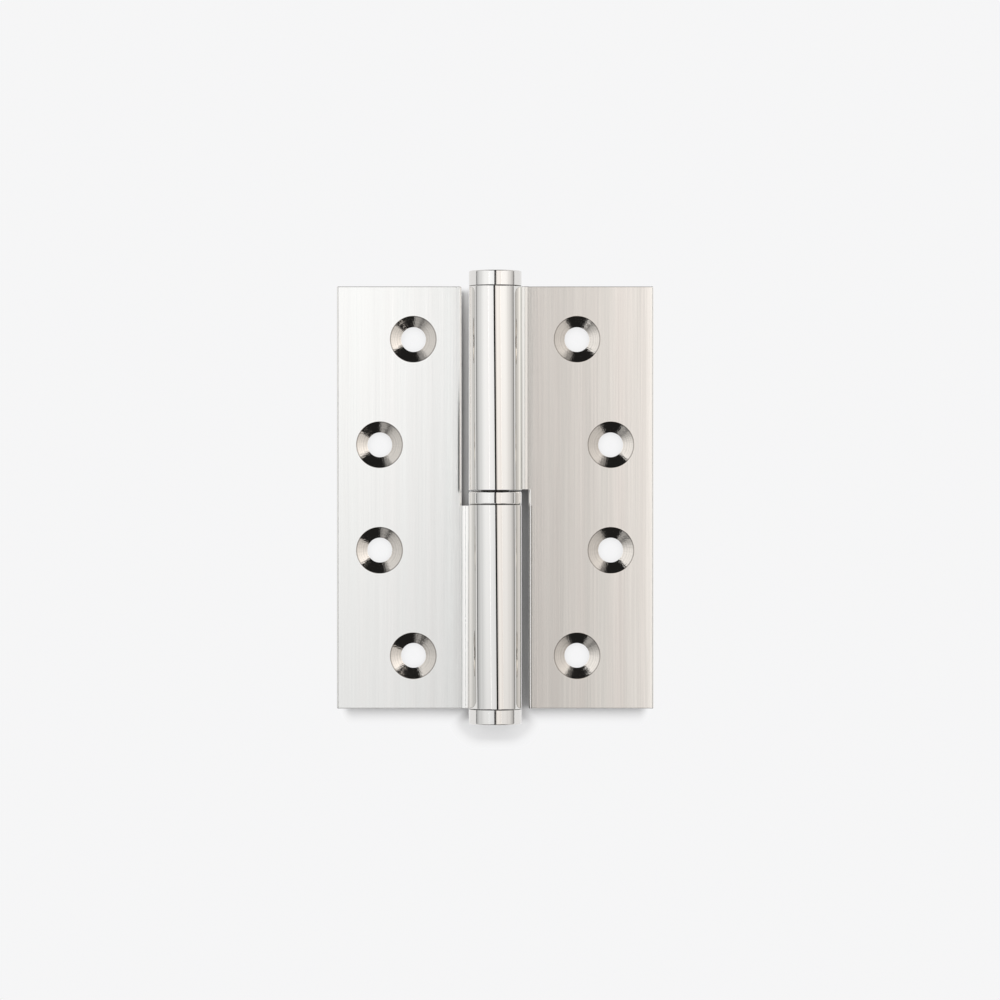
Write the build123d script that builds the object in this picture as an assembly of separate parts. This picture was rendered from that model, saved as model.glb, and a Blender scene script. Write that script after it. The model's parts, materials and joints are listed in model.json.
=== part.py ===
from build123d import *
import math
import os

# A lift-off butt hinge in solid brass, opened flat. The pin stands along +Z through the origin, which lies
# at mid-height. The countersunk faces of the leaves look along -Y. The frame leaf is on -X and carries the
# lower knuckle and the pin. The door leaf is on +X, carries the upper knuckle and lifts off upwards.

# Leaves
leaf_height = 100.0
open_width = 75.0
leaf_thickness = 3.0
closed_gap = 1.0
face_edge_round = 0.4
back_edge_round = 0.3
end_edge_round = 0.2

# Knuckles, and the root where a knuckle runs into its own leaf
barrel_diameter = 12.5
front_root_round = 1.6
back_root_round = 1.0
notch_clearance = 0.2
shoulder_relief = 0.25
knuckle_edge_round = 0.12
bore_lead_in = 0.3

# Screw holes: four evenly spaced rows. The middle two stand further out than the end two.
screw_diameter = 5.9
countersink_diameter = 11.0
countersink_angle = 90.0
countersink_rim_round = 0.1
screw_end_margin = 12.5
middle_screw_margin = 10.1
screw_stagger = 8.0

# Pin, ring and their fits
pin_diameter = 7.0
pin_nose_chamfer = 1.2
pin_nose_gap = 5.0
pin_foot_chamfer = 0.5
pin_foot_gap = 0.5
running_clearance = 0.05
ring_height = 3.1
ring_edge_round = 0.4
axial_play = 0.3

# Caps
cap_height = 3.6
cap_edge_round = 0.3
cap_seam_round = 0.12
cap_shank_length = 5.0
cap_shank_chamfer = 0.5

# Places worked out from the sizes above. Heights are counted from mid-height.
half_width = open_width / 2
half_height = leaf_height / 2
barrel_radius = barrel_diameter / 2
face_y = closed_gap / 2
back_y = face_y + leaf_thickness
knuckle_end = (ring_height + axial_play) / 2
shoulder = knuckle_end + shoulder_relief
ring_bottom = -knuckle_end
ring_top = ring_bottom + ring_height
shank_end = half_height - cap_shank_length
pin_top = shank_end - pin_nose_gap
pin_bottom = -shank_end + pin_foot_gap

# Rows of screw holes, as distances from the pin axis and heights from mid-height
middle_screw_x = half_width - middle_screw_margin
end_screw_x = middle_screw_x - screw_stagger
end_screw_z = half_height - screw_end_margin
middle_screw_z = end_screw_z / 3

# The front root round touches the leaf's face here, and the other leaf's notch edge has to pass it.
root_centre_distance = barrel_radius + front_root_round
root_tangent_x = math.sqrt(root_centre_distance**2 - (face_y - front_root_round) ** 2)
notch_x = math.hypot(root_tangent_x, face_y) + notch_clearance

# Fits: the pin and the lower cap are pressed in, the upper knuckle and the ring run free on the pin.
pressed_bore = pin_diameter
running_bore = pin_diameter + 2 * running_clearance

# Cuts run this far past the face that they open on, and diameters this close count as the same.
overshoot = 1.0
near = 0.01


def rod(diameter, low, high):
    """A round bar on the pin axis, from one height to another."""
    return Pos(0, 0, low) * Cylinder(
        diameter / 2, high - low, align=(Align.CENTER, Align.CENTER, Align.MIN)
    )


def rounded(outline, corners):
    """The outline with each listed corner rounded, where a corner is a point and its radius."""
    for x, y, radius in corners:
        vertex = outline.vertices().sort_by_distance((x, y, 0))[0]
        outline = fillet(vertex, radius)
    return outline


def plate_section(inner_x):
    """The plate's section on -X, from the outer edge in to the given distance from the pin axis."""
    width = half_width - inner_x
    return Pos(-inner_x - width / 2, (face_y + back_y) / 2) * Rectangle(width, leaf_thickness)


def root_section():
    """The extruded section: barrel, plate, and the two concave roots between them."""
    front_x = -math.sqrt(barrel_radius**2 - face_y**2)
    back_x = -math.sqrt(barrel_radius**2 - back_y**2)
    corners = [
        (front_x, face_y, front_root_round),
        (back_x, back_y, back_root_round),
        (-half_width, face_y, face_edge_round),
        (-half_width, back_y, back_edge_round),
    ]
    return rounded(Circle(barrel_radius) + plate_section(0), corners)


def flag_section():
    """The section beside the notch: the plate alone, cut back to the notch edge."""
    corners = [
        (-half_width, face_y, face_edge_round),
        (-half_width, back_y, back_edge_round),
        (-notch_x, face_y, face_edge_round),
        (-notch_x, back_y, back_edge_round),
    ]
    return rounded(plate_section(notch_x), corners)


def bar(section, low, high, rounded_end):
    """A section extruded between two heights, with the outline of its low or high end rounded."""
    solid = Pos(0, 0, low) * extrude(section, high - low)
    end_face = solid.faces().sort_by(Axis.Z)[rounded_end]
    return fillet(end_face.outer_wire().edges(), end_edge_round)


def screw_hole(x, z):
    """A countersunk screw hole through the plate, opening on its front face."""
    depth = (countersink_diameter - screw_diameter) / 2 / math.tan(math.radians(countersink_angle / 2))
    profile = Polyline(
        (0, face_y - overshoot),
        (countersink_diameter / 2, face_y - overshoot),
        (countersink_diameter / 2, face_y),
        (screw_diameter / 2, face_y + depth),
        (screw_diameter / 2, back_y + overshoot),
        (0, back_y + overshoot),
        close=True,
    )
    return Pos(x, 0, z) * revolve(make_face(profile), Axis.Y)


def screw_holes():
    """The four holes of the frame leaf, in pairs about mid-height."""
    pairs = ((end_screw_x, end_screw_z), (middle_screw_x, middle_screw_z))
    return [screw_hole(-x, side * z) for x, z in pairs for side in (-1, 1)]


def circles(solid, diameter, axis):
    """The solid's round edges of one diameter that lie square to an axis, sorted along it."""
    found = solid.edges().filter_by(GeomType.CIRCLE).filter_by(Plane(axis))
    return found.filter_by(lambda edge: abs(2 * edge.radius - diameter) < near).sort_by(axis)


def knuckle_tip():
    """The last of the knuckle, which stands a little past the leaf's shoulder."""
    tip = rod(barrel_diameter, -shoulder, -knuckle_end)
    return fillet(circles(tip, barrel_diameter, Axis.Z)[-1], knuckle_edge_round)


def leaf(bore):
    """A leaf in the frame leaf's place: plate on -X, knuckle below, with the given bore."""
    root = bar(root_section(), -half_height, -shoulder, 0)
    flag = bar(flag_section(), -shoulder, half_height, -1)
    blank = root + flag + knuckle_tip()
    blank -= rod(bore, -half_height - overshoot, -knuckle_end + overshoot)
    blank = chamfer(circles(blank, bore, Axis.Z)[-1], bore_lead_in)
    for hole in screw_holes():
        blank -= hole
    return fillet(circles(blank, countersink_diameter, Axis.Y), countersink_rim_round)


def turned_over(piece):
    """The same piece turned half round the view axis: left to right and end for end."""
    return Rot(0, 180, 0) * piece


def hinge_pin():
    """The steel pin, with a long lead-in at its nose and a short one at its foot."""
    pin = rod(pin_diameter, pin_bottom, pin_top)
    pin = chamfer(circles(pin, pin_diameter, Axis.Z)[-1], pin_nose_chamfer)
    return chamfer(circles(pin, pin_diameter, Axis.Z)[0], pin_foot_chamfer)


def thrust_ring():
    """The ring that the door leaf stands and turns on."""
    ring = rod(barrel_diameter, ring_bottom, ring_top)
    ring = fillet(circles(ring, barrel_diameter, Axis.Z), ring_edge_round)
    return ring - rod(running_bore, ring_bottom - overshoot, ring_top + overshoot)


def cap(shank_diameter):
    """The lower cap: a flat disc under the knuckle and a shank pressed up into its bore."""
    bottom = -half_height - cap_height
    disc = rod(barrel_diameter, bottom, -half_height)
    disc = fillet(circles(disc, barrel_diameter, Axis.Z)[-1], cap_seam_round)
    disc = fillet(circles(disc, barrel_diameter, Axis.Z)[0], cap_edge_round)
    shank = rod(shank_diameter, bottom + cap_height / 2, -shank_end)
    return disc + chamfer(circles(shank, shank_diameter, Axis.Z)[-1], cap_shank_chamfer)


nodes = {
    "frame_leaf": leaf(pressed_bore),
    "door_leaf": turned_over(leaf(running_bore)),
    "hinge_pin": hinge_pin(),
    "thrust_ring": thrust_ring(),
    "bottom_cap": cap(pressed_bore),
    "top_cap": turned_over(cap(running_bore)),
}

os.makedirs("parts", exist_ok=True)
for name, solid in nodes.items():
    export_step(solid, f"parts/{name}.step")
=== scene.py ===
"""Looks of a lift-off hinge that lies open on a pale surface.

Its leaves with their knuckles, its ring and its caps are nickel-plated, and its pin is steel. Lengths are in
metres. The pin stands along Z through the origin, the countersunk faces look along -Y, and the door leaf lies
on the side of +X.
"""

import json
from functools import reduce
from math import pi
from typing import NamedTuple

import bmesh
import bpy
from bpy.props import FloatProperty, FloatVectorProperty, PointerProperty
from mathutils import Matrix, Vector


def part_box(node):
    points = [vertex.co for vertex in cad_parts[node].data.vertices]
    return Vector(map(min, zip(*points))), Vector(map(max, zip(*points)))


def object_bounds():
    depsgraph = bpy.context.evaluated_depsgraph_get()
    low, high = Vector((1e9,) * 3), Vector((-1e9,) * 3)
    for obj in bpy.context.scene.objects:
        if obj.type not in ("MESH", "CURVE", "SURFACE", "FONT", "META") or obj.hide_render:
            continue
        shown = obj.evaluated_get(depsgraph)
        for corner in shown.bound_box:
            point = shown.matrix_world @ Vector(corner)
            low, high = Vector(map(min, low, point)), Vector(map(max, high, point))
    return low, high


bl_info = {
    "name": "Lift-off hinge",
    "version": (1, 0, 0),
    "blender": (4, 5, 0),
    "location": "3D View > Sidebar > Hinge",
    "description": "Finishes the pieces of a nickel-plated lift-off hinge and lights it on a pale surface",
    "category": "Object",
}

MM = 0.001
MICRON = 0.001 * MM

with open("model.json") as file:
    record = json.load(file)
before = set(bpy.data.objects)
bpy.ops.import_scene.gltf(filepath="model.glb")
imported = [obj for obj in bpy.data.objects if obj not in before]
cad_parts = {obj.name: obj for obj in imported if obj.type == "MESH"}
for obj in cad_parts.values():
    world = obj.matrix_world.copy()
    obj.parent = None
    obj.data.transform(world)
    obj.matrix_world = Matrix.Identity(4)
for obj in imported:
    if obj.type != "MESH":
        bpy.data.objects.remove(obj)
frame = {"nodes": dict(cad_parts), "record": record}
cad_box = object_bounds()
mounts = {mount["name"]: mount for mount in frame["record"]["mounts"]}


def row_of_holes(name):
    """How far a pair of screw holes stands from the pin and from mid-height."""
    mount = mounts[name]
    return abs(mount["pos_m"][0]), mount["dims"]["spacing_y_mm"] * MM / 2


END_HOLES = row_of_holes("frame_end_screws")
MIDDLE_HOLES = row_of_holes("frame_middle_screws")
LEAF_REACH, _, LEAF_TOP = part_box("door_leaf")[1]
LEAF_BACK = mounts["door_back"]["pos_m"][1]
RING_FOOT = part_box("thrust_ring")[0][2]


def length(name, default, description, **limits):
    """A property that holds a length in metres."""
    return FloatProperty(
        name=name, description=description, default=default, unit="LENGTH", precision=5, **limits
    )


def share(name, default, description, most=1.0):
    """A property that holds a share, from nought to one unless it may be more."""
    return FloatProperty(
        name=name, description=description, default=default, min=0, max=most, subtype="FACTOR", precision=3
    )


def colour(name, default, description):
    """A property that holds a colour."""
    return FloatVectorProperty(
        name=name, description=description, default=default, subtype="COLOR", size=3, min=0, max=1
    )


class HingeLeafFinish(bpy.types.PropertyGroup):
    """Finish of the two leaves with their knuckles."""

    nickel: colour("Nickel", (0.79, 0.775, 0.75), "Colour of the plating")
    sink: colour("Countersink", (0.79, 0.74, 0.68), "Colour of the turned countersinks")
    # Painted light: the frame leaf's face is painted lighter and the door leaf's face darker, for the
    # different light that falls on the two leaves.
    frame_brightness: share("Frame brightness", 1.04, "Brightness of the frame leaf's face", most=2.0)
    door_brightness: share("Door brightness", 0.96, "Brightness of the door leaf's face", most=2.0)
    frame_streaks: share("Frame streaks", 0.08, "Contrast of the streaks on the frame leaf's face")
    door_streaks: share("Door streaks", 0.16, "Contrast of the streaks on the door leaf's face")
    # The glow is painted light: painted highlights near the face's long edges, and painted shade on the root
    # and beside the door leaf's notch.
    frame_painted_light: share("Frame glow", 0.0, "How much brighter the frame leaf's face is near its two long edges")
    door_painted_light: share("Door glow", 0.1, "How much brighter the door leaf's face is near its two long edges")
    face_roughness: share("Face roughness", 0.14, "Roughness of the linished faces")
    barrel_roughness: share("Barrel roughness", 0.035, "Roughness of the polished knuckles")
    sink_roughness: share("Countersink roughness", 0.09, "Roughness of the turned countersinks")
    sink_lean: share("Countersink lean", 0.07, "How far the countersinks' shading leans to their leaf's side")
    sink_radius: length("Countersink radius", 5.5 * MM, "How far the turned finish reaches round a hole")
    barrel_radius: length("Barrel radius", 6.27 * MM, "How far out the polish of the knuckles is even")
    root_reach: length("Root reach", 6.45 * MM, "Where the knuckles' polish has gone over into the roots")
    streak_width: length("Streak width", 0.5 * MM, "Width of the streaks along the leaves")


class HingeTurnedFinish(bpy.types.PropertyGroup):
    """Finish of the ring and the caps."""

    nickel: colour("Nickel", (0.79, 0.775, 0.75), "Colour of the plating")
    roughness: share("Roughness", 0.08, "Roughness of the turned and polished metal")
    line_width: length("Line width", 0.25 * MM, "Width of the turned lines")


class HingePinFinish(bpy.types.PropertyGroup):
    """Finish of the pin."""

    steel: colour("Steel", (0.62, 0.61, 0.60), "Colour of the drawn steel")
    roughness: share("Roughness", 0.25, "Roughness of the drawn steel")
    line_width: length("Line width", 0.2 * MM, "Width of the drawing lines")


class HingeStage(bpy.types.PropertyGroup):
    """Surface, lamps and camera."""

    surface: colour("Surface", (0.92, 0.92, 0.925), "Colour of the surface and of what lies beyond it")
    surface_reach: length("Surface reach", 0.3, "Half the width of the surface")
    top_light: share("Top light", 1.67, "Brightness of the lamp over the top end of the hinge", most=5.0)
    camera_distance: length("Camera distance", 0.9, "From the pin to the camera")
    camera_side: length("Camera side", 1.14 * MM, "How far the camera stands to the right")
    camera_drop: length("Camera drop", 0.6 * MM, "How far the camera stands below mid-height")
    lens: FloatProperty(name="Lens", description="Focal length in millimetres", default=136.87, min=1)


class Nodes:
    """Adds nodes to a material, a lamp or the world, and works out numbers and vectors with them."""

    # Where a mix node has the first of its two inputs, and its output, for each kind of value
    MIX_SOCKETS = {"FLOAT": (2, 0), "VECTOR": (4, 1), "RGBA": (6, 2)}

    def __init__(self, tree):
        self.tree = tree

    def fill(self, socket, value):
        """Links a socket to an output or gives it a plain value. None leaves it as it is."""
        if isinstance(value, bpy.types.NodeSocket):
            self.tree.links.new(value, socket)
        elif value is not None:
            socket.default_value = value

    def add(self, kind, *values, **settings):
        """A node with its settings, and with its inputs filled in order."""
        node = self.tree.nodes.new(kind)
        for name, value in settings.items():
            setattr(node, name, value)
        for socket, value in zip(node.inputs, values):
            self.fill(socket, value)
        return node

    def math(self, operation, *values):
        """The result of a sum on numbers."""
        return self.add("ShaderNodeMath", *values, operation=operation).outputs[0]

    def plus(self, first, second):
        """The sum of two numbers."""
        return self.math("ADD", first, second)

    def minus(self, first, second):
        """The first number less the second."""
        return self.math("SUBTRACT", first, second)

    def times(self, *values):
        """The product of some numbers."""
        return reduce(lambda product, value: self.math("MULTIPLY", product, value), values)

    def largest(self, *values):
        """The largest of some numbers."""
        return reduce(lambda most, value: self.math("MAXIMUM", most, value), values)

    def smallest(self, *values):
        """The smallest of some numbers."""
        return reduce(lambda least, value: self.math("MINIMUM", least, value), values)

    def linear(self, value, steepness, start):
        """The start, plus the value times the steepness."""
        return self.math("MULTIPLY_ADD", value, steepness, start)

    def size_of(self, value):
        """A number without its sign."""
        return self.math("ABSOLUTE", value)

    def below(self, value, limit):
        """One where the value is below the limit, and nought elsewhere."""
        return self.math("LESS_THAN", value, limit)

    def above(self, value, limit):
        """One where the value is above the limit, and nought elsewhere."""
        return self.math("GREATER_THAN", value, limit)

    def ramp(self, value, span, low=0.0, high=1.0):
        """A smooth step from low to high as the value goes from the start of a span to its end."""
        return self.add(
            "ShaderNodeMapRange", value, *span, low, high, interpolation_type="SMOOTHSTEP"
        ).outputs[0]

    def incline(self, value, span, low, high):
        """A straight change from low to high as the value goes from the start of a span to its end."""
        return self.add("ShaderNodeMapRange", value, *span, low, high).outputs[0]

    def between(self, factor, first, second, kind="FLOAT"):
        """A value that goes from the first to the second as the factor goes from nought to one."""
        node = self.add("ShaderNodeMix", factor, data_type=kind)
        socket, output = self.MIX_SOCKETS[kind]
        self.fill(node.inputs[socket], first)
        self.fill(node.inputs[socket + 1], second)
        return node.outputs[output]

    def parts(self, vector):
        """The three coordinates of a vector."""
        return self.add("ShaderNodeSeparateXYZ", vector).outputs

    def vector(self, x, y, z):
        """A vector from its coordinates."""
        return self.add("ShaderNodeCombineXYZ", x, y, z).outputs[0]

    def length_of(self, vector):
        """The length of a vector."""
        return self.add("ShaderNodeVectorMath", vector, operation="LENGTH").outputs["Value"]

    def unit(self, vector):
        """The vector that is one long and goes the same way."""
        return self.add("ShaderNodeVectorMath", vector, operation="NORMALIZE").outputs[0]

    def moved(self, vector, shift):
        """The sum of two vectors."""
        return self.add("ShaderNodeVectorMath", vector, shift, operation="ADD").outputs[0]

    def scaled(self, vector, factor):
        """A vector or a colour times a number."""
        return self.add("ShaderNodeVectorMath", vector, None, None, factor, operation="SCALE").outputs[0]

    def noise(self, vector, grain, detail):
        """Noise about nought, with so many grains to a unit of the given coordinates."""
        node = self.add("ShaderNodeTexNoise", vector, noise_dimensions="3D")
        node.inputs["Scale"].default_value = grain
        node.inputs["Detail"].default_value = detail
        return self.minus(node.outputs[0], 0.5)

    def from_nearest_hole(self, across, up):
        """The vector to a point from the middle of its nearest screw hole, in the plane of the leaf."""
        from_end, from_middle = (
            self.vector(self.minus(across, aside), self.minus(up, above), 0.0)
            for aside, above in (END_HOLES, MIDDLE_HOLES)
        )
        by_middle = self.below(self.length_of(from_middle), self.length_of(from_end))
        return self.between(by_middle, from_end, from_middle, "VECTOR")


class Metal(Nodes):
    """A metal whose finish follows from the place on the piece."""

    def __init__(self, name, base):
        self.material = bpy.data.materials.new(name)
        self.material.use_nodes = True
        super().__init__(self.material.node_tree)
        self.shader = self.tree.nodes["Principled BSDF"].inputs
        self.shader["Metallic"].default_value = 1.0
        self.shader["Base Color"].default_value = (*base, 1)
        coordinates = self.add("ShaderNodeTexCoord").outputs
        self.place, self.facing = coordinates["Object"], coordinates["Normal"]
        self.x, self.y, self.z = self.parts(self.place)
        self.from_pin = self.length_of(self.vector(self.x, self.y, 0.0))

    def finish(self, tint, roughness, height, direction=None):
        """Drives the metal's colour and roughness, and its surface by a height in metres."""
        self.fill(self.shader["Base Color"], tint)
        self.fill(self.shader["Roughness"], roughness)
        bump = self.add("ShaderNodeBump")
        bump.inputs["Strength"].default_value = 1.0
        bump.inputs["Distance"].default_value = 1.0
        self.fill(bump.inputs["Height"], height)
        self.fill(bump.inputs["Normal"], direction)
        self.fill(self.shader["Normal"], bump.outputs[0])


class LeafMetal(Metal):
    """Plated brass: linished along the face, polished round the knuckle, turned in the countersinks."""

    # Each span says where a tone or a shape starts, and where it is full. Spans out from the pin:
    ROOT_END = (7.95 * MM, 7.8 * MM)
    # Spans sideways from the pin
    WIDE_PAINTED_LIGHT = (15 * MM, 9 * MM)
    INNER_PAINTED_LIGHT = (9.8 * MM, 8.2 * MM)
    OUTER_PAINTED_LIGHT = (LEAF_REACH - 2.7 * MM, LEAF_REACH - 0.5 * MM)
    OUTER_EDGE = (LEAF_REACH - 0.6 * MM, LEAF_REACH - 0.4 * MM)
    NOTCH_EDGE = (8.27 * MM, 8.17 * MM)
    WORN_EDGE = (-8.85 * MM, -8.35 * MM)
    # Spans towards the back
    HOLE_WALL = (LEAF_BACK - 0.3 * MM, LEAF_BACK - 0.4 * MM)
    NOTCH_FRONT = (1.1 * MM, 0.8 * MM)
    # Spans along the pin
    KNUCKLE_END = (1.9 * MM, 1.75 * MM)
    WORN_EDGE_TOP = (32 * MM, 12 * MM)
    WORN_EDGE_FOOT = (0.5 * MM, 2.5 * MM)

    # Grains to a metre
    WARMTH_GRAIN = 220
    WAVE_GRAIN = 250
    RAGGED_GRAIN = 900
    TURNED_GRAIN = 7500
    CHATTER_GRAIN = 14000

    def __init__(self, name, sizes, side, brightness, contrast, painted_light):
        super().__init__(name, sizes.nickel)
        self.sizes, self.side = sizes, side
        self.brightness, self.contrast, self.painted_light = brightness, contrast, painted_light
        self.find_zones()
        self.draw_marks()
        self.finish(self.tint(), self.roughness(), self.height(), self.direction())

    def find_zones(self):
        """Where the knuckle is polished, where the root runs into it, and where the sinks are turned."""
        self.across, self.up = self.size_of(self.x), self.size_of(self.z)
        self.polish = self.ramp(self.from_pin, (self.sizes.root_reach, self.sizes.barrel_radius))
        self.in_root = self.times(self.ramp(self.from_pin, self.ROOT_END), self.minus(1.0, self.polish))
        self.hole_offset = self.from_nearest_hole(self.across, self.up)
        self.from_hole = self.length_of(self.hole_offset)
        sink_edge = (self.sizes.sink_radius + 0.1 * MM, self.sizes.sink_radius)
        self.in_sink = self.times(self.ramp(self.from_hole, sink_edge), self.ramp(self.y, self.HOLE_WALL))

    def by_zone(self, face, knuckle, sink):
        """The number for the face, the knuckle or the countersinks, whichever the place is in."""
        return self.between(self.in_sink, self.between(self.polish, face, knuckle), sink)

    def draw_marks(self):
        """The streaks along the leaf, and the turned lines and the chatter marks round its holes."""
        stretch, broad_share, fine_share = 0.012, 0.15, 1.6
        self.along = self.vector(self.x, self.y, self.times(self.z, stretch))
        self.streaks = self.noise(self.along, 1 / self.sizes.streak_width, detail=3.0)
        self.broad = self.noise(self.along, broad_share / self.sizes.streak_width, detail=1.0)
        self.fine = self.noise(self.along, fine_share / self.sizes.streak_width, detail=1.0)

        raggedness, spoke_length, outwards, along_pin = 0.12 * MM, 1 * MM, 0.03, 0.2
        wavering = self.noise(self.place, self.RAGGED_GRAIN, detail=1.0)
        ragged = self.linear(wavering, raggedness, self.from_hole)
        self.turned = self.noise(self.vector(ragged, 0.0, 0.0), self.TURNED_GRAIN, detail=2.0)
        spoke = self.scaled(self.unit(self.hole_offset), spoke_length)
        level = self.linear(self.from_hole, outwards, self.times(self.z, along_pin))
        station = self.moved(spoke, self.vector(0.0, 0.0, level))
        self.chatter = self.noise(station, self.CHATTER_GRAIN, detail=1.0)

    def face_tone(self):
        """How bright the face is: streaked, with painted highlights towards the knuckle and near its long
        edges, and painted shade on the root.
        """
        fine_weight, least_painted_light, root_share, outer_share = 0.8, 0.1, -3.0, 1.3
        marks = self.linear(self.fine, fine_weight, self.streaks)
        # Each face starts from its leaf's painted tone, lighter or darker for the light that falls on it.
        tone = self.linear(marks, self.contrast, self.linear(self.broad, self.contrast, self.brightness))
        # Painted highlights towards the knuckle, by the notch edge and by the outer edge, and painted shade
        # on the root.
        for zone, weight in (
            (self.ramp(self.across, self.WIDE_PAINTED_LIGHT), least_painted_light + self.painted_light / 2),
            (self.ramp(self.across, self.INNER_PAINTED_LIGHT), self.painted_light),
            (self.in_root, self.painted_light * root_share),
            (self.ramp(self.across, self.OUTER_PAINTED_LIGHT), self.painted_light * outer_share),
        ):
            tone = self.linear(zone, weight, tone)
        return self.times(tone, self.minus(1.0, self.painted_notch_shade()))

    def painted_notch_shade(self):
        """How dark the painted shade is in the two lines down the edge beside the door leaf's notch, and on
        the notch's side.
        """
        second_line, line_edge, second_share = 8.58 * MM, (0.17 * MM, 0.08 * MM), 0.5
        notch_top, darkness, side_share = -1.9 * MM, 8.5, 0.6
        first = self.ramp(self.across, self.NOTCH_EDGE)
        from_second = self.size_of(self.minus(self.across, second_line))
        second = self.ramp(from_second, line_edge, 0.0, second_share)
        return self.times(
            self.largest(first, second),
            self.painted_light * darkness,
            self.below(self.z, notch_top),
            self.ramp(self.y, self.NOTCH_FRONT, side_share, 1.0),
        )

    def sink_tone(self):
        """How bright the countersinks are: lined by the tool, with painted shade in a thin dark ring within
        the rim.
        """
        plain, turned_contrast, chatter_contrast = 0.92, 1.3, 0.15
        dark_ring, ring_edge, ring_tone = 5.42 * MM, (0.14 * MM, 0.04 * MM), 0.4
        lined = self.linear(self.turned, turned_contrast, plain)
        marked = self.linear(self.chatter, chatter_contrast, lined)
        from_ring = self.size_of(self.minus(self.from_hole, dark_ring))
        # Painted shade: a thin dark ring just inside the rim.
        return self.times(marked, self.ramp(from_ring, ring_edge, 1.0, ring_tone))

    def tint(self):
        """The metal's colour, which wavers a little between cool and warm along the face, and its brightness
        in each zone, with the painted light and shade of the face, the knuckle ends and the countersinks.
        """
        warmth_share, knuckle_end_shade_tone = 0.4, 0.6
        red, green, blue = self.sizes.nickel
        wavering = self.noise(self.along, self.WARMTH_GRAIN, detail=1.0)
        warmth = self.linear(wavering, self.contrast * warmth_share, 1.0)
        linished = self.vector(red, self.times(warmth, green), self.times(warmth, blue))
        hue = self.between(self.in_sink, linished, (*self.sizes.sink, 1), "RGBA")
        # Painted shade: the knuckles are darker at their ends by the ring, where the joint is in shade.
        painted_knuckle_end_shade = self.ramp(self.up, self.KNUCKLE_END, 1.0, knuckle_end_shade_tone)
        return self.scaled(hue, self.by_zone(self.face_tone(), painted_knuckle_end_shade, self.sink_tone()))

    def roughness(self):
        """The metal's roughness, uneven along the streaks of the face."""
        unevenness = 0.08
        face = self.linear(self.streaks, unevenness, self.sizes.face_roughness)
        return self.by_zone(face, self.sizes.barrel_roughness, self.sizes.sink_roughness)

    def height(self):
        """The relief: streaks and a worn edge on the face, slow waves and a slight twist on the knuckle."""
        broad_height, streak_height, edge_depth = 10 * MICRON, 3 * MICRON, -18 * MICRON
        streaks = self.linear(self.broad, broad_height, self.times(self.streaks, streak_height))
        worn_edge = self.times(
            self.incline(self.x, self.WORN_EDGE, 0.0, edge_depth),
            self.ramp(self.z, self.WORN_EDGE_TOP),
            self.ramp(self.z, self.WORN_EDGE_FOOT),
            self.below(self.x, 0.0),
        )
        twist, twist_middle, wave_stretch, wave_height = -1.3, 22 * MM, 0.4, 10 * MICRON
        twisted = self.times(self.x, twist, self.minus(self.z, twist_middle))
        stretched = self.vector(self.x, self.y, self.times(self.z, wave_stretch))
        knuckle = self.linear(self.noise(stretched, self.WAVE_GRAIN, detail=0.0), wave_height, twisted)
        chatter_height, line_height = 23 * MICRON, 11 * MICRON
        sink = self.linear(self.chatter, chatter_height, self.times(self.turned, line_height))
        return self.by_zone(self.plus(streaks, worn_edge), knuckle, sink)

    def direction(self):
        """The surface's direction, with only a share of its lean left at edges and in countersinks."""
        edge_share, sink_share = 0.4, 0.62
        at_edge = self.largest(self.in_root, self.ramp(self.across, self.OUTER_EDGE))
        lean = self.between(self.in_sink, self.between(at_edge, 1.0, edge_share), sink_share)
        aside = self.times(self.in_sink, self.side * self.sizes.sink_lean)
        x, y, z = self.parts(self.facing)
        leaning = self.unit(self.vector(self.linear(x, lean, aside), y, self.times(z, lean)))
        settings = {"vector_type": "NORMAL", "convert_from": "OBJECT", "convert_to": "WORLD"}
        return self.add("ShaderNodeVectorTransform", leaning, **settings).outputs[0]


def turned_metal(sizes):
    """Plated brass turned on a lathe: fine lines round the pin, on the sides and on the ends alike, and
    painted shade at its seams.
    """
    seam, seam_tone = (LEAF_TOP + 0.16 * MM, LEAF_TOP + 0.04 * MM), 0.2
    foot, foot_tone = (0.25 * MM, 0.1 * MM), 0.65
    above_ring, unevenness, line_height = 3 * MM, 0.05, 1.5 * MICRON
    metal = Metal("turned_nickel", sizes.nickel)
    lines = metal.noise(metal.vector(metal.from_pin, metal.z, 0.0), 1 / sizes.line_width, detail=2.0)
    up = metal.size_of(metal.z)
    # Painted shade: the caps are darker where they meet the knuckles, and the ring is darker at its foot,
    # where the joints are in shade.
    cap_seam_shade = metal.ramp(up, seam, 1.0, seam_tone)
    ring_foot_shade = metal.ramp(metal.size_of(metal.minus(metal.z, RING_FOOT)), foot, 1.0, foot_tone)
    painted_seam_shade = metal.between(metal.below(up, above_ring), cap_seam_shade, ring_foot_shade)
    metal.finish(
        metal.scaled((*sizes.nickel,), painted_seam_shade),
        metal.linear(lines, unevenness, sizes.roughness),
        metal.times(lines, line_height),
    )
    return metal


def pin_metal(sizes):
    """Bright drawn steel, with lines along the pin and painted shade, nearly black, where it leaves the ring
    and shows in the gap below the upper knuckle.
    """
    stretch, unevenness, line_height = 0.02, 0.1, 2 * MICRON
    pin_shade_span, pin_shade_tone = (1.75 * MM, 2.1 * MM), 0.03
    metal = Metal("drawn_steel", sizes.steel)
    along = metal.vector(metal.x, metal.y, metal.times(metal.z, stretch))
    lines = metal.noise(along, 1 / sizes.line_width, detail=3.0)
    metal.finish(
        # Painted shade: the pin is nearly black below the upper knuckle's foot, for the shade in the gap
        # above the ring.
        metal.scaled((*sizes.steel,), metal.ramp(metal.z, pin_shade_span, pin_shade_tone, 1.0)),
        metal.linear(lines, unevenness, sizes.roughness),
        metal.times(lines, line_height),
    )
    return metal


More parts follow.
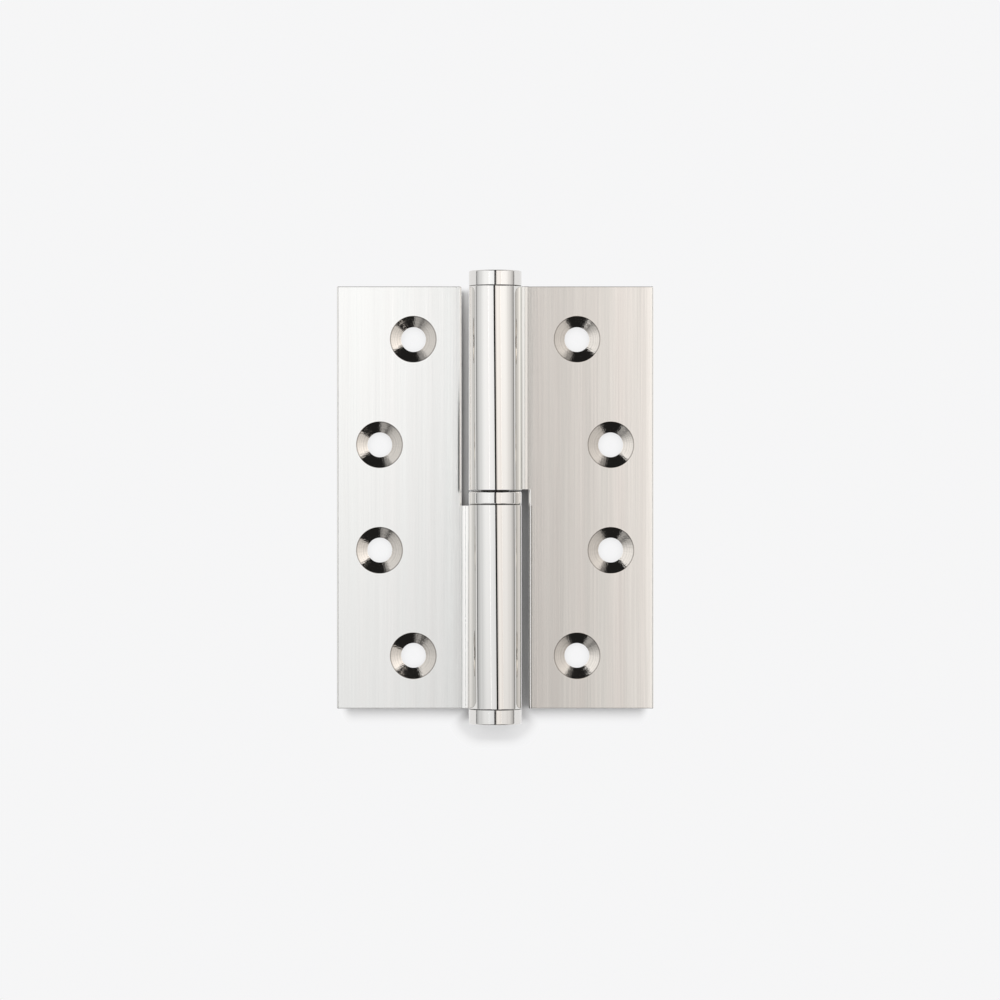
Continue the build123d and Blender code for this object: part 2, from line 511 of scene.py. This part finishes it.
def dress(metal, *names):
    """Gives the named nodes a metal."""
    for name in names:
        frame["nodes"][name].data.materials.clear()
        frame["nodes"][name].data.materials.append(metal.material)


class HINGE_OT_finish_leaves(bpy.types.Operator):
    """Finish the two leaves and their knuckles"""

    bl_idname = "hinge.finish_leaves"
    bl_label = "Finish leaves"

    def execute(self, context):
        sizes = context.scene.hinge_leaf_finish
        frame_look = sizes.frame_brightness, sizes.frame_streaks, sizes.frame_painted_light
        door_look = sizes.door_brightness, sizes.door_streaks, sizes.door_painted_light
        dress(LeafMetal("frame_nickel", sizes, -1, *frame_look), "frame_leaf")
        dress(LeafMetal("door_nickel", sizes, 1, *door_look), "door_leaf")
        return {"FINISHED"}


class HINGE_OT_finish_turned(bpy.types.Operator):
    """Finish the ring and the caps"""

    bl_idname = "hinge.finish_turned"
    bl_label = "Finish ring and caps"

    def execute(self, context):
        dress(turned_metal(context.scene.hinge_turned_finish), "thrust_ring", "top_cap", "bottom_cap")
        return {"FINISHED"}


class HINGE_OT_finish_pin(bpy.types.Operator):
    """Finish the pin"""

    bl_idname = "hinge.finish_pin"
    bl_label = "Finish pin"

    def execute(self, context):
        dress(pin_metal(context.scene.hinge_pin_finish), "hinge_pin")
        return {"FINISHED"}


def slanted(x):
    """The point of the plan with the given x, on the two lines along which the side lamps stand."""
    steepness, nearest = 1.48, -0.696
    return x, steepness * abs(x) + nearest


# Tints of the lamps
COOL, COOLISH = (0.97, 0.985, 1.0), (0.98, 0.99, 1.0)
WARMISH, WARM = (1.0, 0.98, 0.965), (1.0, 0.955, 0.92)
# The length over which a lamp with a hard end fades there
HARD = 0.001


class SideLamp(NamedTuple):
    """A tall lamp that stands between two points of the plan, an inner one and an outer one.

    fade: how far from the pin its light starts and stops to fade, and the share that is left there.
    shares, heights: the shares of its light that are left at two heights, and these heights.
    soft: the lengths of its soft lower and upper ends.
    """

    name: str
    inner: tuple
    outer: tuple
    bottom: float
    top: float
    tint: tuple
    radiance: float
    fade: tuple = (0.26, 0.5, 0.3)
    shares: tuple = (1.0, 1.0)
    heights: tuple = (0.0, 1.0)
    soft: tuple = (HARD, HARD)


SIDE_LAMPS = (
    SideLamp(
        "left_strip", (-0.0075, -0.12), (-0.06, -0.12), -0.11, 0.11, COOL, 1.0,
        fade=(0.0063, 0.05, 1.1), shares=(0.885, 1.13), heights=(-0.08, 0.08),
    ),
    SideLamp(
        "right_strip", (0.0075, -0.12), (0.06, -0.12), -0.11, 0.11, WARM, 0.8,
        fade=(0.0063, 0.05, 1.24), shares=(0.87, 1.04), heights=(-0.08, 0.08),
    ),
    SideLamp("right_fill", (0.055, -0.4), (0.2, -0.4), -0.35, 0.35, WARMISH, 0.3, fade=(0.055, 0.2, 0.2)),
    SideLamp(
        "left_near", slanted(-0.2), slanted(-0.36), -0.42, 0.4, COOLISH, 0.95,
        shares=(0.45, 1.2), heights=(-0.32, 0.05), soft=(0.12, 0.03),
    ),
    SideLamp("left_low", slanted(-0.2), slanted(-0.33), -0.95, -0.3, COOLISH, 0.43, soft=(0.35, 0.12)),
    SideLamp("left_high", slanted(-0.3), slanted(-0.36), 0.4, 1.0, COOLISH, 0.4, soft=(HARD, 0.5)),
    SideLamp(
        "left_far", slanted(-0.36), slanted(-0.46), -0.7, 0.75, COOLISH, 0.8,
        fade=(0.36, 0.5, 0.4), shares=(0.7, 1.1), heights=(-0.4, 0.1), soft=(0.35, 0.5),
    ),
    SideLamp(
        "right_near", slanted(0.2), slanted(0.33), -0.27, 0.31, WARMISH, 1.13,
        shares=(0.66, 1.24), heights=(-0.25, 0.25), soft=(0.03, 0.06),
    ),
    SideLamp("right_high", slanted(0.3), slanted(0.36), 0.4, 1.0, WARMISH, 0.4, soft=(HARD, 0.5)),
    SideLamp(
        "right_far", slanted(0.33), slanted(0.46), -0.75, 0.65, WARMISH, 0.94,
        fade=(0.33, 0.5, 0.35), shares=(0.86, 1.1), heights=(-0.25, 0.25), soft=(0.65, 0.4),
    ),
)


def side_lamp(design):
    """Makes a side lamp, which only reflections show."""
    middle_height = (design.bottom + design.top) / 2
    inner, outer = Vector((*design.inner, middle_height)), Vector((*design.outer, middle_height))
    lamp = bpy.data.lights.new(design.name, "AREA")
    lamp.shape = "RECTANGLE"
    lamp.size = (outer - inner).length
    lamp.size_y = design.top - design.bottom
    lamp.color = design.tint
    lamp.energy = design.radiance * lamp.size * lamp.size_y * pi
    lamp.use_nodes = True
    nodes = Nodes(lamp.node_tree)
    x, _, z = nodes.parts(nodes.add("ShaderNodeNewGeometry").outputs["Position"])
    *fade_span, faded = design.fade
    strength = nodes.times(
        nodes.ramp(nodes.size_of(x), fade_span, 1.0, faded),
        nodes.ramp(z, design.heights, *design.shares),
        nodes.ramp(z, (design.bottom, design.bottom + design.soft[0])),
        nodes.ramp(z, (design.top, design.top - design.soft[1])),
    )
    nodes.fill(lamp.node_tree.nodes["Emission"].inputs["Strength"], strength)
    holder = bpy.data.objects.new(design.name, lamp)
    middle, upwards = (inner + outer) / 2, Vector((0, 0, 1))
    away = upwards.cross((outer - inner).normalized())
    if away.xy.dot(middle.xy) < 0:
        away = -away
    turn = Matrix((upwards.cross(away), upwards, away)).transposed().to_4x4()
    holder.matrix_world = Matrix.Translation(middle) @ turn
    holder.visible_camera = False
    holder.visible_diffuse = False
    bpy.context.scene.collection.objects.link(holder)


def top_lamp(radiance):
    """A broad lamp over the top end of the hinge, which gives the soft shadow below it."""
    side, place = 2.0, (0, -0.85, 0.3)
    lamp = bpy.data.lights.new("top_lamp", "AREA")
    lamp.shape = "SQUARE"
    lamp.size = side
    lamp.energy = radiance * side**2 * pi
    holder = bpy.data.objects.new("top_lamp", lamp)
    holder.location = place
    holder.rotation_euler = Vector(place).to_track_quat("Z", "Y").to_euler()
    holder.visible_camera = False
    holder.visible_glossy = False
    bpy.context.scene.collection.objects.link(holder)


class PaleSurface(Nodes):
    """The look of the surface: even and plain away from the hinge, and lit where the hinge shades it."""

    # Each span says where a shade starts or ends. Spans sideways from the pin:
    BESIDE_BARREL = (8.6 * MM, 9.6 * MM)
    LEFT_OF_BARREL = (-8.0 * MM, -6.8 * MM)
    BEHIND_BARREL = (-5.5 * MM, 5.5 * MM)
    # Spans along the pin
    GAP_TOP = (LEAF_TOP - 1.6 * MM, LEAF_TOP + 0.3 * MM)
    GAP_FOOT = (0.7 * MM - LEAF_TOP, -0.6 * MM - LEAF_TOP)
    BELOW_CAP = (-52 * MM, -54 * MM)
    SHADE_TOP = 40 * MM
    # Spans out from the edge of a shade, and in towards the middle of a hole
    SHADE_EDGE = (3.2 * MM, 8.3 * MM)
    HOLE_EDGE = (8 * MM, 0.8 * MM)

    def __init__(self, name, tint):
        self.material = bpy.data.materials.new(name)
        self.material.use_nodes = True
        super().__init__(self.material.node_tree)
        self.tree.nodes.clear()
        self.x, _, self.z = self.parts(self.add("ShaderNodeTexCoord").outputs["Object"])
        self.across = self.size_of(self.x)
        out_of_gap = self.out_of_gap()
        paint = self.scaled((*tint,), self.between(out_of_gap, self.gap_shade(), 1.0))
        lit = self.add("ShaderNodeBsdfDiffuse", paint).outputs[0]
        plain = self.add("ShaderNodeEmission", (*tint, 1), 1.0).outputs[0]
        clear = self.add("ShaderNodeBsdfTransparent").outputs[0]
        plainness = self.smallest(self.plainness(), out_of_gap)
        shown = self.add("ShaderNodeMixShader", plainness, lit, plain).outputs[0]
        look = self.add("ShaderNodeMixShader", self.solid(), clear, shown).outputs[0]
        self.add("ShaderNodeOutputMaterial", look)

    def outside(self, half_width, foot, steepness):
        """Nought over a rectangle of the surface, rising to one some way round it, sooner to its sides."""
        beside = self.largest(self.minus(self.across, half_width), 0.0)
        beyond = self.largest(self.minus(foot, self.z), self.minus(self.z, self.SHADE_TOP), 0.0)
        apart = self.length_of(self.vector(self.times(beside, steepness), beyond, 0.0))
        return self.ramp(apart, self.SHADE_EDGE)

    def out_of_gap(self):
        """Nought in the strip behind the barrel, which the leaves' notches show, and one outside it."""
        return self.largest(
            self.ramp(self.across, self.BESIDE_BARREL),
            self.ramp(self.z, self.GAP_TOP),
            self.ramp(self.z, self.GAP_FOOT),
        )

    def gap_shade(self):
        """How pale the strip behind the barrel is: darker the more the leaves and the barrel close it in."""
        white, closeness = (1.0, 1.0, 1.0, 1.0), 10 * MM
        darkest_left, palest_left, right = 0.45, 1.05, 0.57
        openness = self.add("ShaderNodeAmbientOcclusion", white, closeness, samples=1).outputs["AO"]
        left = self.ramp(self.x, self.LEFT_OF_BARREL, darkest_left, palest_left)
        shade_left, shade_right = (self.between(openness, shade, 1.0) for shade in (left, right))
        return self.between(self.ramp(self.x, self.BEHIND_BARREL), shade_left, shade_right)

    def plainness(self):
        """How far the surface is plain instead of lit: away from the hinge, and behind its holes."""
        least_below_cap = 0.45
        leaves = self.outside(half_width=34.1 * MM, foot=-46 * MM, steepness=2.5)
        cap = self.outside(half_width=3 * MM, foot=-51.8 * MM, steepness=1.0)
        from_hole = self.length_of(self.from_nearest_hole(self.across, self.size_of(self.z)))
        through_hole = self.ramp(from_hole, self.HOLE_EDGE)
        below_cap = self.ramp(self.z, self.BELOW_CAP, 0.0, least_below_cap)
        return self.largest(self.smallest(leaves, cap), through_hole, below_cap)

    def solid(self):
        """One where the surface shows: to the camera and to scattered light, in front and not edge on."""
        grazing, one_bounce, even_blend = (0.95, 0.9), 0.5, 0.5
        path = self.add("ShaderNodeLightPath").outputs
        seen = self.largest(path["Is Camera Ray"], self.above(path["Diffuse Depth"], one_bounce))
        behind = self.add("ShaderNodeNewGeometry").outputs["Backfacing"]
        edge_on = self.add("ShaderNodeLayerWeight", even_blend).outputs["Facing"]
        return self.times(seen, self.minus(1.0, behind), self.ramp(edge_on, grazing))


def pale_surface(stage):
    """The surface that the hinge lies on, just behind its backmost point."""
    clearance = 0.02 * MM
    shape = bmesh.new()
    bmesh.ops.create_grid(shape, x_segments=1, y_segments=1, size=stage.surface_reach)
    bmesh.ops.rotate(shape, verts=shape.verts, matrix=Matrix.Rotation(pi / 2, 3, "X"))
    bmesh.ops.translate(shape, verts=shape.verts, vec=(0, cad_box[1][1] + clearance, 0))
    mesh = bpy.data.meshes.new("surface")
    shape.to_mesh(mesh)
    shape.free()
    mesh.materials.append(PaleSurface("pale_surface", stage.surface).material)
    surface = bpy.data.objects.new("surface", mesh)
    bpy.context.scene.collection.objects.link(surface)


def pale_world(stage):
    """Pale all round, and dark only in front between the lamps, where the camera stands."""
    front_edge, ends = (0.05, 0.0), (0.97, 0.998)
    front_light, end_light = 0.018, 0.6
    world = bpy.data.worlds.new("studio")
    world.use_nodes = True
    world.node_tree.nodes.clear()
    nodes = Nodes(world.node_tree)
    _, y, z = nodes.parts(nodes.add("ShaderNodeTexCoord").outputs["Generated"])
    unseen = nodes.minus(1.0, nodes.add("ShaderNodeLightPath").outputs["Is Camera Ray"])
    dim = nodes.ramp(nodes.size_of(z), ends, front_light, end_light)
    tint = (*stage.surface, 1)
    pale, dark = (nodes.add("ShaderNodeBackground", tint, strength).outputs[0] for strength in (1.0, dim))
    in_front = nodes.times(nodes.ramp(y, front_edge), unseen)
    shade = nodes.add("ShaderNodeMixShader", in_front, pale, dark).outputs[0]
    nodes.add("ShaderNodeOutputWorld", shade)
    bpy.context.scene.world = world


def camera(stage):
    """The camera, square on to the open hinge."""
    data = bpy.data.cameras.new("camera")
    data.lens = stage.lens
    data.sensor_width = 36
    data.clip_start, data.clip_end = 0.01, 10
    holder = bpy.data.objects.new("camera", data)
    holder.location = (stage.camera_side, -stage.camera_distance, -stage.camera_drop)
    holder.rotation_euler = (pi / 2, 0, 0)
    bpy.context.scene.collection.objects.link(holder)
    bpy.context.scene.camera = holder


class HINGE_OT_set_stage(bpy.types.Operator):
    """Set the surface, the lamps and the camera"""

    bl_idname = "hinge.set_stage"
    bl_label = "Set stage"

    def execute(self, context):
        stage = context.scene.hinge_stage
        pale_surface(stage)
        pale_world(stage)
        camera(stage)
        for design in SIDE_LAMPS:
            side_lamp(design)
        top_lamp(stage.top_light)
        context.scene.view_settings.view_transform = "Standard"
        return {"FINISHED"}


class HINGE_PT_sidebar(bpy.types.Panel):
    """Lists the hinge's finishes and its stage"""

    bl_idname = "HINGE_PT_sidebar"
    bl_label = "Lift-off hinge"
    bl_space_type = "VIEW_3D"
    bl_region_type = "UI"
    bl_category = "Hinge"

    def draw(self, context):
        for operator, (settings, group) in zip(OPERATORS, SETTINGS.items()):
            box = self.layout.box()
            box.operator(operator.bl_idname)
            for name in group.__annotations__:
                box.prop(getattr(context.scene, settings), name)


OPERATORS = (HINGE_OT_finish_leaves, HINGE_OT_finish_turned, HINGE_OT_finish_pin, HINGE_OT_set_stage)
SETTINGS = {
    "hinge_leaf_finish": HingeLeafFinish,
    "hinge_turned_finish": HingeTurnedFinish,
    "hinge_pin_finish": HingePinFinish,
    "hinge_stage": HingeStage,
}


def register():
    for group in SETTINGS.values():
        bpy.utils.register_class(group)
    for name, group in SETTINGS.items():
        setattr(bpy.types.Scene, name, PointerProperty(type=group))
    for operator in OPERATORS:
        bpy.utils.register_class(operator)
    bpy.utils.register_class(HINGE_PT_sidebar)


def unregister():
    bpy.utils.unregister_class(HINGE_PT_sidebar)
    for operator in OPERATORS:
        bpy.utils.unregister_class(operator)
    for name, group in SETTINGS.items():
        delattr(bpy.types.Scene, name)
        bpy.utils.unregister_class(group)


def main():
    register()
    bpy.ops.hinge.finish_leaves()
    bpy.ops.hinge.finish_turned()
    bpy.ops.hinge.finish_pin()
    bpy.ops.hinge.set_stage()


if __name__ == "__main__":
    main()
